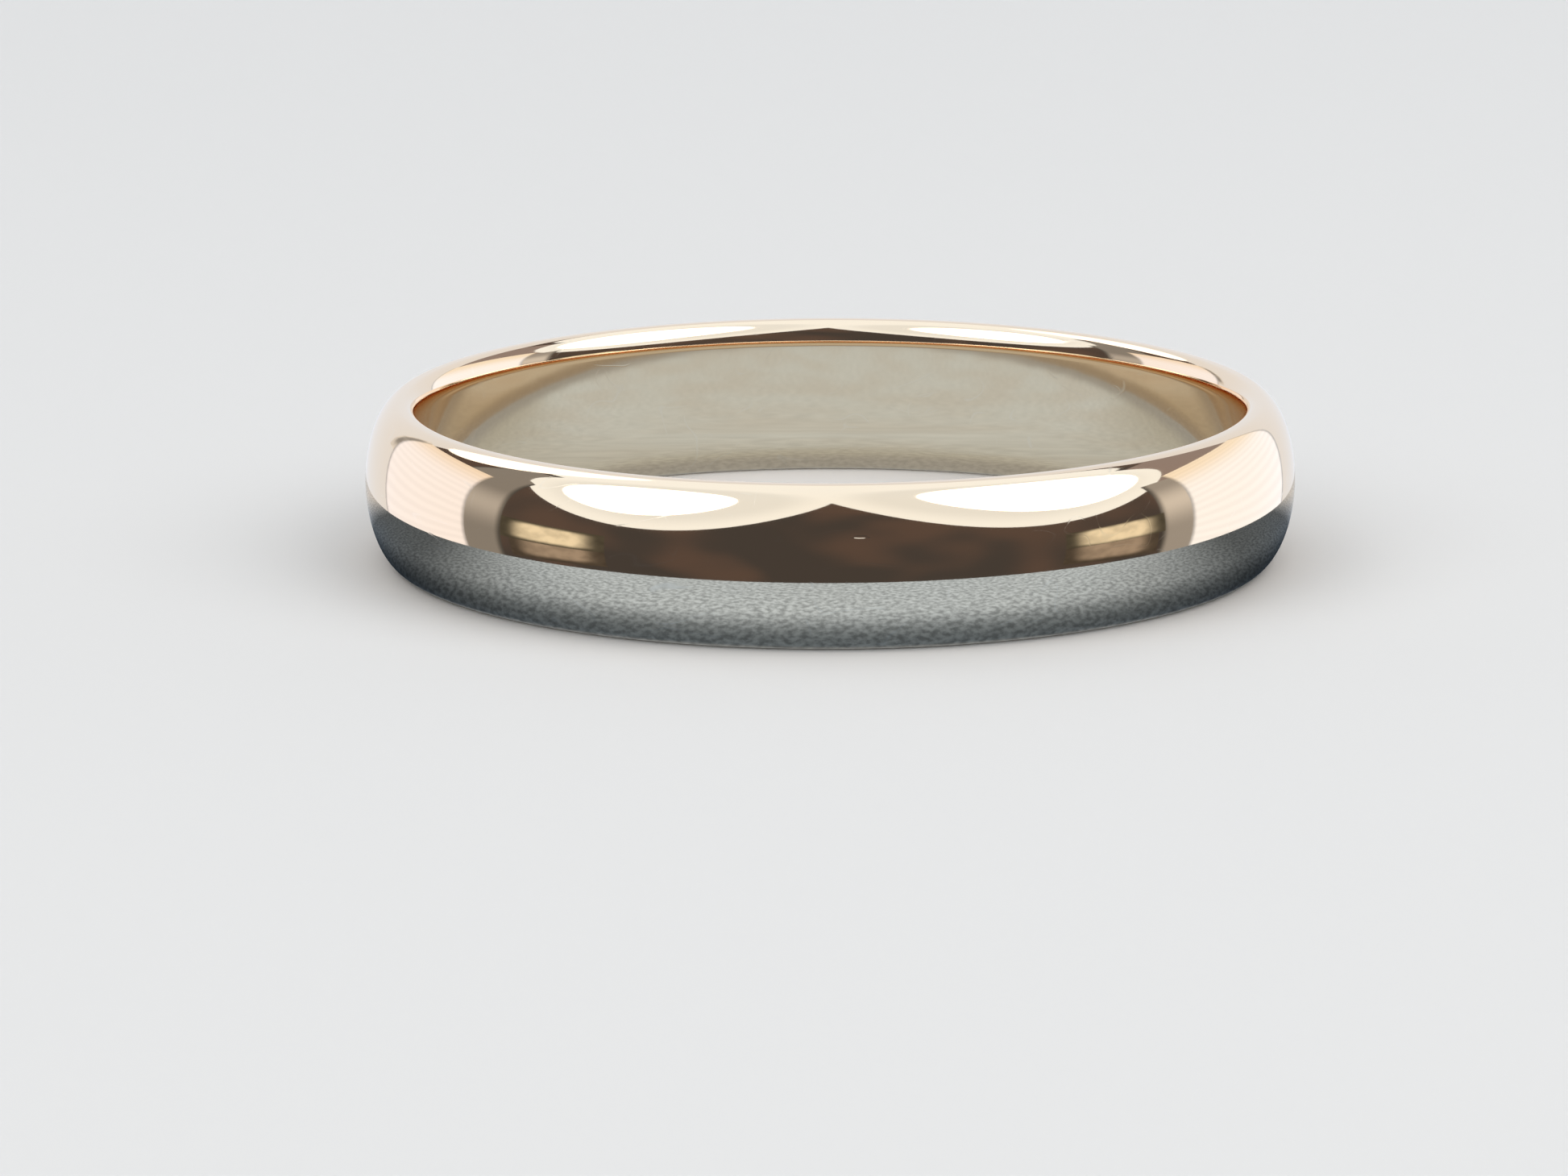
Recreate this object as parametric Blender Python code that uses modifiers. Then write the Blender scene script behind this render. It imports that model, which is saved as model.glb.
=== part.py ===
"""A plain half-round wedding band, turned as one ring of polished gold.

The finger axis is +Z, and the origin is the middle of the finger hole, half way up the band.
The section is a D: a domed outside, two narrow rim flats, softened inner edges and a straight bore.
All lengths are metres.
"""
import math

import bpy

# Driving dimensions.
FINGER_DIAMETER = 0.0170
BAND_WIDTH = 0.0033
CROWN_THICKNESS = 0.0011
RIM_FLAT_WIDTH = 0.00008
INNER_EDGE_DEPTH = 0.00032
INNER_EDGE_LENGTH = 0.00055

# How full each curve of the section is: 2 is an ellipse, less is leaner, more is squarer.
DOME_FULLNESS = 1.9
INNER_EDGE_FULLNESS = 2.2

# How finely the ring is cut into flats.
TURN_STEPS = 120
HALF_DOME_SEGMENTS = 9
INNER_EDGE_SEGMENTS = 5

# Points closer than this are one point. It is far under the shortest flat of the section.
MERGE_DISTANCE = 1e-6

GOLD_COLOUR = (0.93, 0.76, 0.50, 1.0)
GOLD_ROUGHNESS = 0.08

OBJECT_NAME = "wedding_band"
BAND_NODE = "band"


def clear_scene():
    """Remove every object that the file opened with."""
    for existing in list(bpy.data.objects):
        bpy.data.objects.remove(existing, do_unlink=True)


def make_collection(name):
    """A new collection, linked to the scene."""
    collection = bpy.data.collections.new(name)
    bpy.context.scene.collection.children.link(collection)
    return collection


def polished_gold():
    """Yellow gold with a faint rose cast."""
    material = bpy.data.materials.new("polished_gold")
    material.use_nodes = True
    material.diffuse_color = GOLD_COLOUR
    shader = material.node_tree.nodes["Principled BSDF"]
    shader.inputs["Base Color"].default_value = GOLD_COLOUR
    shader.inputs["Metallic"].default_value = 1.0
    shader.inputs["Roughness"].default_value = GOLD_ROUGHNESS
    return material


def corner_curve(fullness, segments):
    """A rounded corner one unit deep and one unit tall, as (depth, height) points from its side to its top."""
    points = []
    for step in range(segments + 1):
        turn = math.pi / 2 * step / segments
        depth = max(math.cos(turn), 0.0) ** (2.0 / fullness)
        height = max(math.sin(turn), 0.0) ** (2.0 / fullness)
        points.append((depth, height))
    return points


def upper_dome():
    """The outside of the upper half, from the rim flat down to the crown at mid width."""
    foot_radius = FINGER_DIAMETER / 2 + INNER_EDGE_DEPTH + RIM_FLAT_WIDTH
    rise = CROWN_THICKNESS - INNER_EDGE_DEPTH - RIM_FLAT_WIDTH
    curve = corner_curve(DOME_FULLNESS, HALF_DOME_SEGMENTS)
    return [(foot_radius + rise * depth, BAND_WIDTH / 2 * height) for depth, height in reversed(curve)]


def upper_inner_edge():
    """The softened inner edge of the upper half, from the bore up to the rim flat."""
    flat_radius = FINGER_DIAMETER / 2 + INNER_EDGE_DEPTH
    bore_top = BAND_WIDTH / 2 - INNER_EDGE_LENGTH
    curve = corner_curve(INNER_EDGE_FULLNESS, INNER_EDGE_SEGMENTS)
    return [
        (flat_radius - INNER_EDGE_DEPTH * depth, bore_top + INNER_EDGE_LENGTH * height)
        for depth, height in curve
    ]


def mirrored(points):
    """The same points below the middle of the band, in the opposite order."""
    return [(radius, -height) for radius, height in reversed(points)]


def band_section():
    """The closed section as (radius, height) points: down the outside, then up the bore."""
    dome = upper_dome()
    edge = upper_inner_edge()
    down_the_outside = dome + mirrored(dome)[1:]
    up_the_bore = mirrored(edge) + edge
    return down_the_outside + up_the_bore


def turned_ring(name, section, material, collection):
    """Turn a closed section once around Z."""
    mesh = bpy.data.meshes.new(name)
    points = [(radius, 0.0, height) for radius, height in section]
    edges = [(index, (index + 1) % len(points)) for index in range(len(points))]
    mesh.from_pydata(points, edges, [])
    mesh.materials.append(material)
    ring = bpy.data.objects.new(name, mesh)
    collection.objects.link(ring)
    screw = ring.modifiers.new("Turn", "SCREW")
    screw.axis = "Z"
    screw.angle = math.tau
    screw.steps = TURN_STEPS
    screw.render_steps = TURN_STEPS
    screw.use_merge_vertices = True
    screw.merge_threshold = MERGE_DISTANCE
    screw.use_smooth_shade = True
    return ring


clear_scene()
turned_ring(BAND_NODE, band_section(), polished_gold(), make_collection(OBJECT_NAME))
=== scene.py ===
"""A polished yellow gold wedding band on a plain pale floor, under a soft studio tent."""
import math

import bmesh
import bpy
from mathutils import Matrix, Vector


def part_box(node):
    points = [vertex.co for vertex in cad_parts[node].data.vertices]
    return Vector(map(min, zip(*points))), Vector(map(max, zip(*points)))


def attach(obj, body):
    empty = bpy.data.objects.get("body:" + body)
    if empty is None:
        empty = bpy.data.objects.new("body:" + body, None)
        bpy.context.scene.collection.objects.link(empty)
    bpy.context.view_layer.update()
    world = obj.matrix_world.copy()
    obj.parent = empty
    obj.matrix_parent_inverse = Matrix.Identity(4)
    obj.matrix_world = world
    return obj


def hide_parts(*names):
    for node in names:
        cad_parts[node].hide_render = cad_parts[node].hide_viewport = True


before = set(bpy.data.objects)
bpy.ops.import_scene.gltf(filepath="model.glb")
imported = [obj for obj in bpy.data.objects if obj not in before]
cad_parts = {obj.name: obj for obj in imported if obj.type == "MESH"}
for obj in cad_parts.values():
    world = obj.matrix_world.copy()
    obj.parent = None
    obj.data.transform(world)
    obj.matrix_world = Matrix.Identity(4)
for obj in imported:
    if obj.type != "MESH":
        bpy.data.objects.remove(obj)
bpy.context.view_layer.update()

LOW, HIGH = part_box("band")

# The band's section, as the CAD has it. The width and the outside radius come from the CAD node.
FINGER_DIAMETER = 0.0170
RIM_FLAT_WIDTH = 0.00008
INNER_EDGE_DEPTH = 0.00032
INNER_EDGE_LENGTH = 0.00055
DOME_FULLNESS = 1.9
INNER_EDGE_FULLNESS = 2.2
BORE_RADIUS = FINGER_DIAMETER / 2
CROWN_RADIUS = HIGH[0]
HALF_WIDTH = HIGH[2]

# How finely the finished band is drawn.
DOME_SEGMENTS = 26
INNER_EDGE_SEGMENTS = 16
SPIN_STEPS = 480
SAME_POINT = 1e-6
SAME_PLACE = 1e-5
ORIGIN = (0.0, 0.0, 0.0)

# Gold. Sizes, depths and places on the band are in millimetres.
MILLIMETRES = 1000.0
GOLD = (0.935, 0.760, 0.575, 1.0)
GOLD_DEEP = (0.925, 0.735, 0.540, 1.0)
GOLD_WORN = (0.950, 0.800, 0.640, 1.0)
TONE_RATE = 0.35
OUTER_WAVE_SIZE = 1.6
OUTER_WAVE_DEPTH = 0.0004
BORE_WAVE_SIZE = 0.7
BORE_WAVE_DEPTH = 0.0010
LINE_SPACING = 0.05
LINE_DEPTH = 0.00001
LINE_LENGTHENING = (0.25, 0.25, 0.0)
SCRATCH_DEPTH = 0.00012
SCRATCH_LENGTHENING = (0.12, 1.0, 1.0)
SCRATCH_THINNESS = 0.012
SCRATCHED_PATCH_RATE = 0.9
NICK_DEPTH = 0.006
NICK_MIDDLE = (0.54, -9.50, 0.72)
NICK_REACH = (0.22, 0.30, 0.035)
RIM_BAND = 0.35
BORE_INSIDE = 0.02
BORE_OUTSIDE = 0.2
RIM_WEAR = 0.5
WORN_SHARE = 0.5

# How rough the polish is, and what is added by slow variation, at the rims, in the bore and on scratches.
POLISHED_ROUGHNESS = 0.025
TONE_DULLING = 0.02
RIM_DULLING = 0.02
BORE_DULLING = 0.015
SCRATCH_DULLING = 0.08

# Each family of fine scratches: how it is turned, how far apart it lies, and how much of the band has it.
HAIRLINES = [
    ((0.0, 0.3, 0.2), 0.60, 0.45),
    ((0.2, -0.5, 0.9), 0.75, 0.42),
    ((0.1, 0.9, 2.1), 0.90, 0.40),
]

# The camera stands in front of the band and a little above it, far back with a long lens.
CAMERA_DISTANCE = 0.170
CAMERA_ELEVATION = 12.4
CAMERA_ROLL = -0.17
CAMERA_SIDESTEP = -0.00096
CAMERA_DROP = -0.00233
CAMERA_LENS = 188.7
CAMERA_NEAREST = 0.001

# Light levels, where 1 is paper white.
BACKGROUND_LEVEL = 0.82
ROOM_LEVEL = 0.08
ROOM_DARK = (0.80, 0.74, 0.74, 1.0)
ROOM_WARM = (1.35, 1.00, 0.88, 1.0)
ROOM_RATE = 2.2
LIGHT_BOUNCES = 24

# The floor fades into the background between two distances from the band.
FLOOR_COLOUR = (0.608, 0.592, 0.574, 1.0)
FLOOR_RADIUS = 1.2
FLOOR_ROUGHNESS = 0.9
FLOOR_SHINE = 0.1
FLOOR_FADE_START = 0.06
FLOOR_FADE_END = 0.20

# The round lamps' cloth is dimmer inside than at its rim. Shares are of the lamp's radius.
LAMP_CREAM = (1.03, 1.14, 1.24)
LAMP_INSIDE_LEVEL = 0.86
LAMP_INSIDE_SHARE = 0.62
LAMP_RIM_SHARE = 0.95

# The tent's side cloths.
PLEAT_SPACING = 0.024
PLEAT_WANDER = 1.2
PLEAT_FOLD_LEVEL = 0.965
PLEAT_FACE_LEVEL = 1.02
CLOTH_TOP_TINT = (0.93, 0.81, 0.63)
CLOTH_TOP_START = 0.05
CLOTH_TOP_END = 0.19
CLOTH_SIDE_FADE = 0.014
CLOTH_SIDE_LEVEL = 0.45

# The tent's struts.
STRUT_SIDE_FADE = 0.020
STRUT_PATCH_REACH = 0.10
STRUT_PATCH_LEVEL = 1.9

# The small warm cards and the tent's fold are even over these shares of their width and height.
CARD_EVEN_WIDTH = 0.35
CARD_EVEN_HEIGHT = 0.5
CARD_GRAIN_RATE = 30.0
CARD_GRAIN_DIM = 0.85
CARD_GRAIN_BRIGHT = 1.1

# The slate card under the band, which only reflections see. Its colours are a painted reflection of the
# floor, with painted shade at the band's base outside it, and inside the bore at its base and towards its
# back.
SLATE_RADIUS = 0.0139
SLATE_DROP = 0.00002
SLATE_INSIDE = (0.55, 0.65, 0.72, 1.0)
SLATE_INSIDE_WARM = (0.53, 0.60, 0.64, 1.0)
# Painted shade in the reflection, inside the bore towards its back.
SLATE_INSIDE_BACK_SHADE = (0.42, 0.46, 0.45, 1.0)
# Painted shadow in the reflection, inside the bore at its base.
SLATE_INSIDE_FOOT_SHADOW = (0.33, 0.36, 0.37, 1.0)
SLATE_BEHIND = (0.60, 0.60, 0.60, 1.0)
# Painted shade in the reflection, at the band's base outside it.
SLATE_FOOT_SHADE = (0.11, 0.15, 0.20, 1.0)
SLATE_PALE = (0.455, 0.585, 0.745, 1.0)
SLATE_CLOUD_RATE = 450.0
NAP_RATE = 6000.0
NAP_CONTRAST = 0.32
NAP_INSIDE_SHARE = 0.3

# Where the slate's tone and its painted shade change: by distance from the bore or the crown, and by
# distance behind the middle.
SLATE_FOOT_SHADOW_WIDTH = 0.0010
SLATE_SEAM_START = 0.0003
SLATE_SEAM_END = 0.0006
SLATE_RISE_START = -0.0004
SLATE_RISE_END = 0.0011
SLATE_INSIDE_BACK_START = 0.0045
SLATE_INSIDE_BACK_END = 0.0080
SLATE_BEHIND_START = 0.0005
SLATE_BEHIND_END = 0.0060
SLATE_SIDE_START = -0.0025
SLATE_SIDE_END = -0.0105
SLATE_SIDE_LEVEL = 0.20


# ---------------------------------------------------------------- modelling by hand

def pick_side(radius, stretch):
    """Select the section's two corners that stand at this radius."""
    bpy.ops.mesh.select_all(action="DESELECT")
    mesh = bpy.context.edit_object.data
    corners = bmesh.from_edit_mesh(mesh)
    for corner in corners.verts:
        corner.select = abs(corner.co.x / stretch - radius) < SAME_PLACE
    corners.select_flush(True)
    bmesh.update_edit_mesh(mesh)


def round_side(radius, depth, length, fullness, segments):
    """Round two corners of the section to a curve that is deeper one way than the other.

    The section is stretched until the curve is as deep as it is long, bevelled, and let go again.
    """
    stretch = length / depth
    bpy.ops.mesh.select_all(action="SELECT")
    bpy.ops.transform.resize(value=(stretch, 1.0, 1.0), center_override=ORIGIN)
    pick_side(radius, stretch)
    bpy.ops.mesh.bevel(
        affect="VERTICES",
        offset=length,
        profile=0.25 ** (1.0 / fullness),
        segments=segments,
        clamp_overlap=False,
    )
    bpy.ops.mesh.select_all(action="SELECT")
    bpy.ops.transform.resize(value=(1.0 / stretch, 1.0, 1.0), center_override=ORIGIN)


def make_band():
    """Cut the D section from a flat plate, round its corners, and spin it about the finger axis."""
    bpy.ops.object.select_all(action="DESELECT")
    bpy.ops.mesh.primitive_plane_add(size=1.0, rotation=(math.pi / 2, 0.0, 0.0))
    bpy.ops.object.transform_apply(location=True, rotation=True, scale=True)
    band = bpy.context.active_object
    band.name = "polished_band"
    band.data.name = "polished_band"

    bpy.ops.object.mode_set(mode="EDIT")
    bpy.ops.mesh.select_all(action="SELECT")
    thickness = CROWN_RADIUS - BORE_RADIUS
    bpy.ops.transform.resize(value=(thickness, 1.0, 2.0 * HALF_WIDTH), center_override=ORIGIN)
    bpy.ops.transform.translate(value=(BORE_RADIUS + thickness / 2, 0.0, 0.0))
    round_side(BORE_RADIUS, INNER_EDGE_DEPTH, INNER_EDGE_LENGTH, INNER_EDGE_FULLNESS, INNER_EDGE_SEGMENTS)
    dome_depth = thickness - INNER_EDGE_DEPTH - RIM_FLAT_WIDTH
    round_side(CROWN_RADIUS, dome_depth, HALF_WIDTH, DOME_FULLNESS, DOME_SEGMENTS)
    bpy.ops.mesh.remove_doubles(threshold=SAME_POINT)

    bpy.ops.mesh.delete(type="ONLY_FACE")
    bpy.ops.mesh.select_all(action="SELECT")
    bpy.ops.mesh.spin(
        steps=SPIN_STEPS, angle=math.tau, center=ORIGIN, axis=(0.0, 0.0, 1.0), use_auto_merge=True
    )
    bpy.ops.mesh.select_all(action="SELECT")
    bpy.ops.mesh.remove_doubles(threshold=SAME_POINT)
    bpy.ops.mesh.normals_make_consistent(inside=False)
    bpy.ops.object.mode_set(mode="OBJECT")
    bpy.ops.object.shade_smooth()
    return band


# ---------------------------------------------------------------- shader building blocks

def add_node(tree, kind, inputs=None, **settings):
    """Add a node, set its own settings, and set or link its inputs by name or number."""
    node = tree.nodes.new(kind)
    for setting, value in settings.items():
        setattr(node, setting, value)
    for socket, value in (inputs or {}).items():
        if isinstance(value, bpy.types.NodeSocket):
            tree.links.new(value, node.inputs[socket])
        else:
            node.inputs[socket].default_value = value
    return node


def math_node(tree, operation, first, second=0.0):
    """The result of one sum on two values or sockets."""
    return add_node(tree, "ShaderNodeMath", {0: first, 1: second}, operation=operation).outputs["Value"]


def times(tree, first, second):
    """Two values or sockets multiplied."""
    return math_node(tree, "MULTIPLY", first, second)


def add_up(tree, first, *others):
    """Several values or sockets added."""
    total = first
    for other in others:
        total = math_node(tree, "ADD", total, other)
    return total


def vector_math(tree, operation, first, second=ORIGIN):
    """The result of one sum on two vectors."""
    node = add_node(tree, "ShaderNodeVectorMath", {0: first, 1: second}, operation=operation)
    return node.outputs["Vector"]


def vector_length(tree, vector):
    """How long a vector is."""
    return add_node(tree, "ShaderNodeVectorMath", {0: vector}, operation="LENGTH").outputs["Value"]


def split_axes(tree, place):
    """The X, Y and Z of a place."""
    split = add_node(tree, "ShaderNodeSeparateXYZ", {"Vector": place})
    return tuple(split.outputs[axis] for axis in "XYZ")


def ramp_value(tree, value, start, end, low=0.0, high=1.0):
    """A value that eases from low to high between start and end."""
    limits = {"Value": value, "From Min": start, "From Max": end, "To Min": low, "To Max": high}
    node = add_node(tree, "ShaderNodeMapRange", limits, interpolation_type="SMOOTHSTEP")
    return node.outputs["Result"]


def noise_value(tree, place, rate, detail):
    """Soft random patches. The rate is how many there are to a unit of length."""
    noise = add_node(tree, "ShaderNodeTexNoise", {"Vector": place, "Scale": rate, "Detail": detail})
    return noise.outputs["Fac"]


def colour_mix(tree, share, first, second):
    """The first colour where share is 0, and the second where it is 1."""
    mix = add_node(tree, "ShaderNodeMix", {"Factor": share, "A": first, "B": second}, data_type="RGBA")
    return mix.outputs["Result"]


def object_place(tree):
    """Where a point is on its own object."""
    return add_node(tree, "ShaderNodeTexCoord").outputs["Object"]


def radius_share(tree, place, start, end):
    """A value that goes from 0 to 1 between two distances from the object's own origin."""
    return ramp_value(tree, vector_length(tree, place), start, end)


def new_group(name, inputs, outputs):
    """An empty node group. Inputs are {name: default}, and outputs are names of values."""
    tree = bpy.data.node_groups.new(name, "ShaderNodeTree")
    for socket, default in inputs.items():
        kind = "NodeSocketVector" if isinstance(default, tuple) else "NodeSocketFloat"
        tree.interface.new_socket(name=socket, in_out="INPUT", socket_type=kind).default_value = default
    for socket in outputs:
        tree.interface.new_socket(name=socket, in_out="OUTPUT", socket_type="NodeSocketFloat")
    given = tree.nodes.new("NodeGroupInput")
    result = tree.nodes.new("NodeGroupOutput")
    return tree, given.outputs, result.inputs


def use_group(tree, group, inputs):
    """Place a group in a material, with its own inputs."""
    return add_node(tree, "ShaderNodeGroup", inputs, node_tree=group).outputs


def soft_waves_group():
    """The faint unevenness that hand polishing leaves, as a height in millimetres."""
    inputs = {"Place": ORIGIN, "Size": 1.0, "Depth": 0.001}
    tree, given, result = new_group("soft_waves", inputs, ["Height"])
    rate = math_node(tree, "DIVIDE", 1.0, given["Size"])
    waves = noise_value(tree, given["Place"], rate, 1.0)
    tree.links.new(times(tree, waves, given["Depth"]), result["Height"])
    return tree


def hairlines_group():
    """Short fine scratches along one direction: a mask of where they are."""
    inputs = {"Place": ORIGIN, "Turn": ORIGIN, "Spacing": 0.5, "Share": 0.5}
    tree, given, result = new_group("hairlines", inputs, ["Mask"])
    turning = {"Vector": given["Place"], "Rotation": given["Turn"]}
    turned = add_node(tree, "ShaderNodeVectorRotate", turning, rotation_type="EULER_XYZ").outputs["Vector"]
    lengthening = {"Vector": turned, "Scale": SCRATCH_LENGTHENING}
    drawn_out = add_node(tree, "ShaderNodeMapping", lengthening).outputs["Vector"]
    contours = noise_value(tree, drawn_out, math_node(tree, "DIVIDE", 1.0, given["Spacing"]), 0.0)
    from_middle = math_node(tree, "ABSOLUTE", math_node(tree, "SUBTRACT", contours, 0.5))
    line = ramp_value(tree, from_middle, SCRATCH_THINNESS, 0.0)
    patches = noise_value(tree, turned, SCRATCHED_PATCH_RATE, 2.0)
    bare = math_node(tree, "SUBTRACT", 1.0, given["Share"])
    scratched = ramp_value(tree, math_node(tree, "SUBTRACT", patches, bare), 0.0, 0.06)
    tree.links.new(times(tree, line, scratched), result["Mask"])
    return tree


def turning_lines_group():
    """The very fine lines that run round the band from turning and buffing, as a height in millimetres."""
    inputs = {"Place": ORIGIN, "Across": 0.0, "Spacing": 0.05, "Depth": 0.0001}
    tree, given, result = new_group("turning_lines", inputs, ["Height"])
    along = vector_math(tree, "MULTIPLY", given["Place"], LINE_LENGTHENING)
    step = math_node(tree, "DIVIDE", given["Across"], given["Spacing"])
    across = add_node(tree, "ShaderNodeCombineXYZ", {"Z": step}).outputs["Vector"]
    lines = noise_value(tree, vector_math(tree, "ADD", along, across), 1.0, 1.0)
    tree.links.new(times(tree, lines, given["Depth"]), result["Height"])
    return tree


def band_place_group():
    """Where a point is on the band: its radius and height, and how much it is bore or rim."""
    tree, given, result = new_group("band_place", {"Place": ORIGIN}, ["Radius", "Height", "Bore", "Rim"])
    x, y, z = split_axes(tree, given["Place"])
    radius = math_node(tree, "SQRT", add_up(tree, times(tree, x, x), times(tree, y, y)))
    bore_edge = MILLIMETRES * BORE_RADIUS
    rim_height = MILLIMETRES * HALF_WIDTH
    bore = ramp_value(tree, radius, bore_edge + BORE_OUTSIDE, bore_edge + BORE_INSIDE)
    rim = ramp_value(tree, math_node(tree, "ABSOLUTE", z), rim_height - RIM_BAND, rim_height)
    tree.links.new(radius, result["Radius"])
    tree.links.new(z, result["Height"])
    tree.links.new(bore, result["Bore"])
    tree.links.new(rim, result["Rim"])
    return tree


def nick_group():
    """One small knock: a mask that fades out from its middle."""
    inputs = {"Place": ORIGIN, "Middle": ORIGIN, "Reach": (1.0, 1.0, 1.0)}
    tree, given, result = new_group("nick", inputs, ["Mask"])
    away = vector_math(tree, "SUBTRACT", given["Place"], given["Middle"])
    share = vector_math(tree, "DIVIDE", away, given["Reach"])
    tree.links.new(ramp_value(tree, vector_length(tree, share), 1.0, 0.3), result["Mask"])
    return tree


# ---------------------------------------------------------------- materials

def new_material(name):
    """A new node material and its node tree."""
    material = bpy.data.materials.new(name)
    material.use_nodes = True
    return material, material.node_tree


def gold_material():
    """Mirror-polished yellow gold with a faint rose cast, worn a little on its rims and in its bore."""
    material, tree = new_material("polished_gold")
    shader = tree.nodes["Principled BSDF"]
    shader.inputs["Metallic"].default_value = 1.0

    enlarging = {"Vector": object_place(tree), "Scale": (MILLIMETRES, MILLIMETRES, MILLIMETRES)}
    place = add_node(tree, "ShaderNodeMapping", enlarging).outputs["Vector"]
    where = use_group(tree, band_place_group(), {"Place": place})
    bore, rim = where["Bore"], where["Rim"]

    waves = soft_waves_group()
    outer = {"Place": place, "Size": OUTER_WAVE_SIZE, "Depth": OUTER_WAVE_DEPTH}
    inner = {"Place": place, "Size": BORE_WAVE_SIZE, "Depth": BORE_WAVE_DEPTH}
    outer_waves = use_group(tree, waves, outer)["Height"]
    bore_waves = use_group(tree, waves, inner)["Height"]
    across = add_up(tree, where["Height"], where["Radius"])
    turning = {"Place": place, "Across": across, "Spacing": LINE_SPACING, "Depth": LINE_DEPTH}
    lines = use_group(tree, turning_lines_group(), turning)["Height"]
    nick = {"Place": place, "Middle": NICK_MIDDLE, "Reach": NICK_REACH}
    knock = use_group(tree, nick_group(), nick)["Mask"]

    hairlines = hairlines_group()
    scratches = 0.0
    for turn, spacing, share in HAIRLINES:
        family = {"Place": place, "Turn": turn, "Spacing": spacing, "Share": share}
        scratches = math_node(tree, "MAXIMUM", use_group(tree, hairlines, family)["Mask"], scratches)

    height = add_up(
        tree,
        outer_waves,
        times(tree, bore_waves, bore),
        lines,
        times(tree, scratches, -SCRATCH_DEPTH),
        times(tree, knock, -NICK_DEPTH),
    )
    bump = add_node(tree, "ShaderNodeBump", {"Height": height, "Distance": 1.0 / MILLIMETRES})
    tree.links.new(bump.outputs["Normal"], shader.inputs["Normal"])

    tone = noise_value(tree, place, TONE_RATE, 3.0)
    worn = math_node(tree, "MAXIMUM", scratches, times(tree, rim, RIM_WEAR))
    fresh = colour_mix(tree, tone, GOLD, GOLD_DEEP)
    colour = colour_mix(tree, times(tree, worn, WORN_SHARE), fresh, GOLD_WORN)
    tree.links.new(colour, shader.inputs["Base Color"])

    roughness = add_up(
        tree,
        times(tree, tone, TONE_DULLING),
        times(tree, rim, RIM_DULLING),
        times(tree, bore, BORE_DULLING),
        times(tree, scratches, SCRATCH_DULLING),
        POLISHED_ROUGHNESS,
    )
    tree.links.new(roughness, shader.inputs["Roughness"])
    return material


def floor_material():
    """Plain pale matt board, which fades into the background far from the band."""
    material, tree = new_material("pale_board")
    board = tree.nodes["Principled BSDF"]
    board.inputs["Base Color"].default_value = FLOOR_COLOUR
    board.inputs["Roughness"].default_value = FLOOR_ROUGHNESS
    board.inputs["Specular IOR Level"].default_value = FLOOR_SHINE
    far = add_node(tree, "ShaderNodeEmission", {"Strength": BACKGROUND_LEVEL})
    share = radius_share(tree, object_place(tree), FLOOR_FADE_START, FLOOR_FADE_END)
    choice = {"Fac": share, 1: board.outputs["BSDF"], 2: far.outputs["Emission"]}
    mix = add_node(tree, "ShaderNodeMixShader", choice)
    tree.links.new(mix.outputs["Shader"], tree.nodes["Material Output"].inputs["Surface"])
    return material


def glow(name, level, tint=(1.0, 1.0, 1.0)):
    """An even light panel of the given level."""
    material, tree = new_material(name)
    tree.nodes.clear()
    emission = add_node(tree, "ShaderNodeEmission", {"Color": (*tint, 1.0), "Strength": level})
    add_node(tree, "ShaderNodeOutputMaterial", {"Surface": emission.outputs["Emission"]})
    return material


def feed_glow(material, socket, value):
    """Let a value that changes over a light panel set its strength or its colour."""
    tree = material.node_tree
    tree.links.new(value, tree.nodes["Emission"].inputs[socket])


def panel_axes(tree, place):
    """How far a point of a panel is from the panel's upright middle line, and how high it is."""
    x, y, _ = split_axes(tree, place)
    return math_node(tree, "ABSOLUTE", x), y


def lamp_glow(name, radius):
    """The cloth of a round lamp, a little dimmer inside than at its rim."""
    material = glow(name, 1.0, LAMP_CREAM)
    tree = material.node_tree
    out = vector_length(tree, object_place(tree))
    inside, rim = LAMP_INSIDE_SHARE * radius, LAMP_RIM_SHARE * radius
    feed_glow(material, "Strength", ramp_value(tree, out, inside, rim, LAMP_INSIDE_LEVEL, 1.0))
    return material


def cloth_glow(name, tint, half_width):
    """Thin cloth that hangs in faint level pleats, soft at its sides and yellower towards its top."""
    material = glow(name, 1.0, tint)
    tree = material.node_tree
    place = object_place(tree)
    out, up = panel_axes(tree, place)
    hanging = {
        "Vector": place,
        "Scale": math.tau / (20.0 * PLEAT_SPACING),
        "Distortion": PLEAT_WANDER,
        "Detail Scale": 0.5,
    }
    wave = add_node(tree, "ShaderNodeTexWave", hanging, bands_direction="Y").outputs["Fac"]
    pleats = ramp_value(tree, wave, 0.0, 1.0, PLEAT_FOLD_LEVEL, PLEAT_FACE_LEVEL)
    side = ramp_value(tree, out, half_width, half_width - CLOTH_SIDE_FADE, CLOTH_SIDE_LEVEL, 1.0)
    feed_glow(material, "Strength", times(tree, pleats, side))
    top = tuple(part * fall for part, fall in zip(tint, CLOTH_TOP_TINT))
    rise = ramp_value(tree, up, CLOTH_TOP_START, CLOTH_TOP_END)
    feed_glow(material, "Color", colour_mix(tree, rise, (*tint, 1.0), (*top, 1.0)))
    return material


def strut_glow(name, level, half_width, patch_height):
    """A strut of the tent's frame: soft at its sides, with a paler patch part way up."""
    material = glow(name, level)
    tree = material.node_tree
    out, up = panel_axes(tree, object_place(tree))
    away = math_node(tree, "ABSOLUTE", math_node(tree, "SUBTRACT", up, patch_height))
    patch = ramp_value(tree, away, STRUT_PATCH_REACH, 0.0, 1.0, STRUT_PATCH_LEVEL)
    side = ramp_value(tree, out, half_width, half_width - STRUT_SIDE_FADE, ROOM_LEVEL, level)
    feed_glow(material, "Strength", times(tree, patch, side))
    return material


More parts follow.
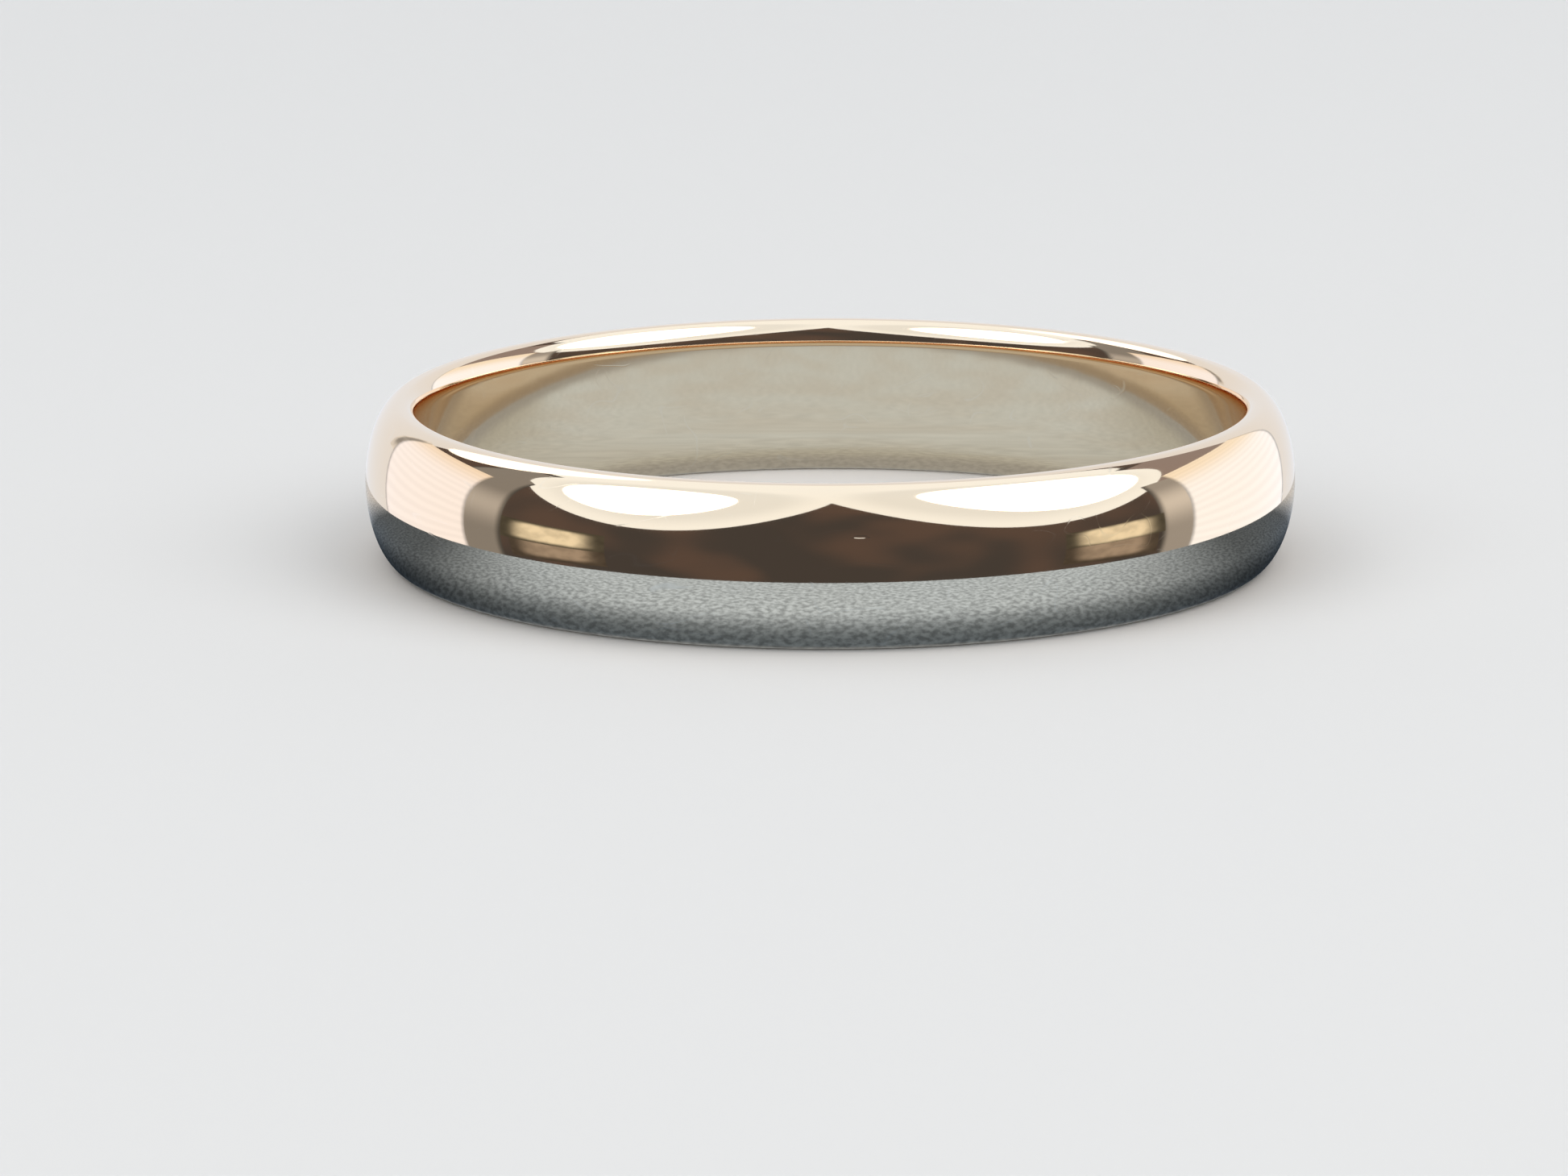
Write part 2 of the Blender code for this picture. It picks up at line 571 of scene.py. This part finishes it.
def soft_glow(name, level, tint, half_width, half_height, edge_level=ROOM_LEVEL):
    """A slightly uneven light panel that fades to another level towards its edges."""
    material = glow(name, level, tint)
    tree = material.node_tree
    place = object_place(tree)
    out, up = panel_axes(tree, place)
    side = ramp_value(tree, out, half_width, CARD_EVEN_WIDTH * half_width)
    rise = ramp_value(tree, math_node(tree, "ABSOLUTE", up), half_height, CARD_EVEN_HEIGHT * half_height)
    strength = ramp_value(tree, times(tree, side, rise), 0.0, 1.0, edge_level, level)
    grain = noise_value(tree, place, CARD_GRAIN_RATE, 2.0)
    uneven = ramp_value(tree, grain, 0.35, 0.65, CARD_GRAIN_DIM, CARD_GRAIN_BRIGHT)
    feed_glow(material, "Strength", times(tree, strength, uneven))
    return material


def slate_reflection_glow():
    """The slate card, a painted reflection of the floor. Inside the band it is pale, with painted shade
    towards the bore's back and at its base. Outside the band it has painted shade at the band's base, is
    darker beside the band, and is paler further out.
    """
    material = glow("slate_reflection_card", 1.0)
    tree = material.node_tree
    place = object_place(tree)
    _, back, _ = split_axes(tree, place)

    behind = ramp_value(tree, back, SLATE_BEHIND_START, SLATE_BEHIND_END)
    pale = colour_mix(tree, behind, SLATE_PALE, SLATE_BEHIND)
    # Painted shade at the band's base outside it, easing to the paler painted reflection further out.
    rise = radius_share(tree, place, CROWN_RADIUS + SLATE_RISE_START, CROWN_RADIUS + SLATE_RISE_END)
    shade = colour_mix(tree, rise, SLATE_FOOT_SHADE, pale)
    front = ramp_value(tree, back, SLATE_SIDE_START, SLATE_SIDE_END, SLATE_SIDE_LEVEL, 1.0)
    outer = vector_math(tree, "MULTIPLY", shade, math_node(tree, "MAXIMUM", front, behind))

    cloud = ramp_value(tree, noise_value(tree, place, SLATE_CLOUD_RATE, 2.0), 0.35, 0.65)
    inner = colour_mix(tree, cloud, SLATE_INSIDE, SLATE_INSIDE_WARM)
    # Painted shade inside the bore, darkening the reflection towards its back.
    far_side_shade = ramp_value(tree, back, SLATE_INSIDE_BACK_START, SLATE_INSIDE_BACK_END)
    inner = colour_mix(tree, far_side_shade, inner, SLATE_INSIDE_BACK_SHADE)
    # Painted shadow inside the bore, darkening the reflection towards the bore's wall.
    foot_shadow = radius_share(tree, place, BORE_RADIUS - SLATE_FOOT_SHADOW_WIDTH, BORE_RADIUS)
    inner = colour_mix(tree, foot_shadow, inner, SLATE_INSIDE_FOOT_SHADOW)

    outside = radius_share(tree, place, BORE_RADIUS + SLATE_SEAM_START, BORE_RADIUS + SLATE_SEAM_END)
    feed_glow(material, "Color", colour_mix(tree, outside, inner, outer))
    nap = ramp_value(tree, noise_value(tree, place, NAP_RATE, 3.0), 0.3, 0.7, -NAP_CONTRAST, NAP_CONTRAST)
    contrast = ramp_value(tree, outside, 0.0, 1.0, NAP_INSIDE_SHARE, 1.0)
    feed_glow(material, "Strength", add_up(tree, times(tree, nap, contrast), 1.0))
    return material


# ---------------------------------------------------------------- stage

def direction(azimuth, elevation):
    """Unit vector from the band. Azimuth 0 is towards the camera, and positive is to its right."""
    a, e = math.radians(azimuth), math.radians(elevation)
    return Vector((math.sin(a) * math.cos(e), -math.cos(a) * math.cos(e), math.sin(e)))


def off_camera(card, name, material):
    """Name a card, give it its material, and let only light and reflections see it."""
    card.name = name
    card.data.materials.append(material)
    card.visible_camera = False


def face_band(card, azimuth, elevation, distance):
    """Place a card in a direction from the band, square to it."""
    away = direction(azimuth, elevation)
    card.location = away * distance
    card.rotation_euler = away.to_track_quat("Z", "Y").to_euler()


def round_lamp(name, material, azimuth, elevation, distance, half_angle):
    """A round lamp of the given angular radius."""
    bpy.ops.object.select_all(action="DESELECT")
    radius = distance * math.tan(math.radians(half_angle))
    bpy.ops.mesh.primitive_circle_add(vertices=128, radius=radius, fill_type="NGON")
    card = bpy.context.active_object
    face_band(card, azimuth, elevation, distance)
    off_camera(card, name, material)


def wall(name, material, left, right, low, high, distance):
    """An upright card between two azimuths and two elevations, square to the band in plan."""
    half_angle = math.radians((right - left) / 2)
    bottom, top = (distance * math.tan(math.radians(edge)) for edge in (low, high))
    bpy.ops.object.select_all(action="DESELECT")
    bpy.ops.mesh.primitive_plane_add(size=2.0)
    card = bpy.context.active_object
    card.dimensions = (2.0 * distance * math.tan(half_angle), top - bottom, 0.0)
    bpy.ops.object.transform_apply(location=False, rotation=False, scale=True)
    face_band(card, (left + right) / 2, 0.0, distance)
    card.location.z = (bottom + top) / 2
    off_camera(card, name, material)


def flat_disc(radius, height):
    """A level disc centred on the finger axis."""
    bpy.ops.object.select_all(action="DESELECT")
    bpy.ops.mesh.primitive_circle_add(
        vertices=96, radius=radius, fill_type="NGON", location=(0.0, 0.0, height)
    )
    return bpy.context.active_object


def make_floor():
    """A wide board under the band, which the band reflects as a small slate card instead. The card is a
    painted reflection of the board, with painted shade near the band.
    """
    floor = flat_disc(FLOOR_RADIUS, LOW[2])
    floor.name = "floor"
    floor.data.materials.append(floor_material())
    floor.visible_glossy = False
    slate = flat_disc(SLATE_RADIUS, LOW[2] - SLATE_DROP)
    off_camera(slate, "slate_reflection_card", slate_reflection_glow())
    slate.visible_diffuse = False
    slate.visible_shadow = False


def make_lamps():
    """Two large round lamps in front, each with a hot core, a small one behind, and a pale roof."""
    hot = glow("lamp_core", 3.0)
    cloth_left = lamp_glow("lamp_cloth_left", radius=0.298)
    cloth_right = lamp_glow("lamp_cloth_right", radius=0.309)
    round_lamp("lamp_left", cloth_left, azimuth=-50, elevation=45, distance=0.45, half_angle=33.5)
    round_lamp("lamp_left_core", hot, azimuth=-55, elevation=41, distance=0.36, half_angle=19.8)
    round_lamp("lamp_right", cloth_right, azimuth=58, elevation=48, distance=0.41, half_angle=37)
    round_lamp("lamp_right_core", hot, azimuth=65, elevation=45, distance=0.34, half_angle=24.5)
    small = glow("back_lamp", 1.8)
    round_lamp("lamp_back", small, azimuth=-134, elevation=47, distance=0.50, half_angle=16)
    roof = glow("roof_cloth", 1.0, LAMP_CREAM)
    round_lamp("roof", roof, azimuth=0, elevation=90, distance=0.60, half_angle=40)


def make_tent():
    """The tent's side cloths and back wall, and the struts and the fold between them."""
    cloth_left = cloth_glow("side_cloth_left", (1.06, 1.10, 1.24), half_width=0.150)
    cloth_right = cloth_glow("side_cloth_right", (1.10, 1.20, 1.38), half_width=0.186)
    wall("side_wall_left", cloth_left, left=-141, right=-100, low=-20, high=28, distance=0.40)
    wall("side_wall_right", cloth_right, left=98, right=148, low=-25, high=30, distance=0.40)

    strut_left = strut_glow("tent_strut_left", 0.26, half_width=0.1015, patch_height=-0.080)
    strut_right = strut_glow("tent_strut_right", 0.36, half_width=0.0540, patch_height=0.066)
    rail_right = glow("tent_top_right", 0.28, (1.1, 0.95, 0.95))
    wall("frame_left", strut_left, left=-113, right=-87, low=-25, high=48, distance=0.44)
    wall("frame_right", rail_right, left=88, right=145, low=24, high=48, distance=0.44)
    wall("frame_right_low", strut_right, left=87, right=101, low=-25, high=24, distance=0.44)

    white = (1.0, 1.0, 1.0)
    fold = soft_glow("tent_fold", 0.36, white, half_width=0.027, half_height=0.097, edge_level=0.84)
    cloth_back = glow("back_cloth", 0.84, (1.0, 1.05, 1.13))
    wall("frame_back_left", fold, left=-145, right=-138, low=4, high=27, distance=0.44)
    wall("back_wall", cloth_back, left=145, right=221, low=-25, high=52, distance=0.50)


def make_cards():
    """Two pairs of small warm cards, low on either side of the dark gap in front."""
    card = soft_glow("warm_card", 0.86, (1.0, 0.94, 0.74), half_width=0.107, half_height=0.037)
    wall("warm_card_left", card, left=-87, right=-56, low=-6, high=4, distance=0.40)
    wall("warm_card_right", card, left=58, right=88, low=-5, high=4, distance=0.40)
    low_card = soft_glow("low_warm_card", 0.36, (1.0, 0.85, 0.70), half_width=0.102, half_height=0.055)
    wall("low_card_left", low_card, left=-84, right=-56, low=-15, high=0, distance=0.41)
    wall("low_card_right", low_card, left=58, right=86, low=-15, high=0, distance=0.41)


def make_world():
    """A pale background to the eye, and a dim warm room to reflections."""
    world = bpy.data.worlds.new("studio")
    bpy.context.scene.world = world
    world.use_nodes = True
    tree = world.node_tree
    tree.nodes.clear()
    path = add_node(tree, "ShaderNodeLightPath")
    white = (1.0, 1.0, 1.0, 1.0)
    seen = add_node(tree, "ShaderNodeBackground", {"Strength": BACKGROUND_LEVEL, "Color": white})
    outlook = add_node(tree, "ShaderNodeTexCoord").outputs["Generated"]
    cloud = ramp_value(tree, noise_value(tree, outlook, ROOM_RATE, 1.0), 0.38, 0.66)
    shade = colour_mix(tree, cloud, ROOM_DARK, ROOM_WARM)
    room = add_node(tree, "ShaderNodeBackground", {"Strength": ROOM_LEVEL, "Color": shade})
    to_eye = path.outputs["Is Camera Ray"]
    choice = {"Fac": to_eye, 1: room.outputs["Background"], 2: seen.outputs["Background"]}
    mix = add_node(tree, "ShaderNodeMixShader", choice)
    add_node(tree, "ShaderNodeOutputWorld", {"Surface": mix.outputs["Shader"]})


def make_camera():
    """A long lens in front of the band, a little above it."""
    back = direction(0.0, CAMERA_ELEVATION)
    turn = (-back).to_track_quat("-Z", "Y").to_matrix().to_4x4()
    place = back * CAMERA_DISTANCE + turn @ Vector((CAMERA_SIDESTEP, CAMERA_DROP, 0.0))
    data = bpy.data.cameras.new("camera")
    data.lens = CAMERA_LENS
    data.clip_start = CAMERA_NEAREST
    camera = bpy.data.objects.new("camera", data)
    bpy.context.scene.collection.objects.link(camera)
    roll = Matrix.Rotation(math.radians(CAMERA_ROLL), 4, "Z")
    camera.matrix_world = Matrix.Translation(place) @ turn @ roll
    bpy.context.scene.camera = camera


# ---------------------------------------------------------------- the scene

band = make_band()
band.data.materials.append(gold_material())
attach(band, "root")
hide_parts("band")

make_floor()
make_lamps()
make_tent()
make_cards()
make_world()
make_camera()

bpy.context.scene.view_settings.view_transform = "Standard"

# Light is thrown from wall to wall of the bore many times before it comes out.
bpy.context.scene.cycles.max_bounces = LIGHT_BOUNCES
bpy.context.scene.cycles.glossy_bounces = LIGHT_BOUNCES
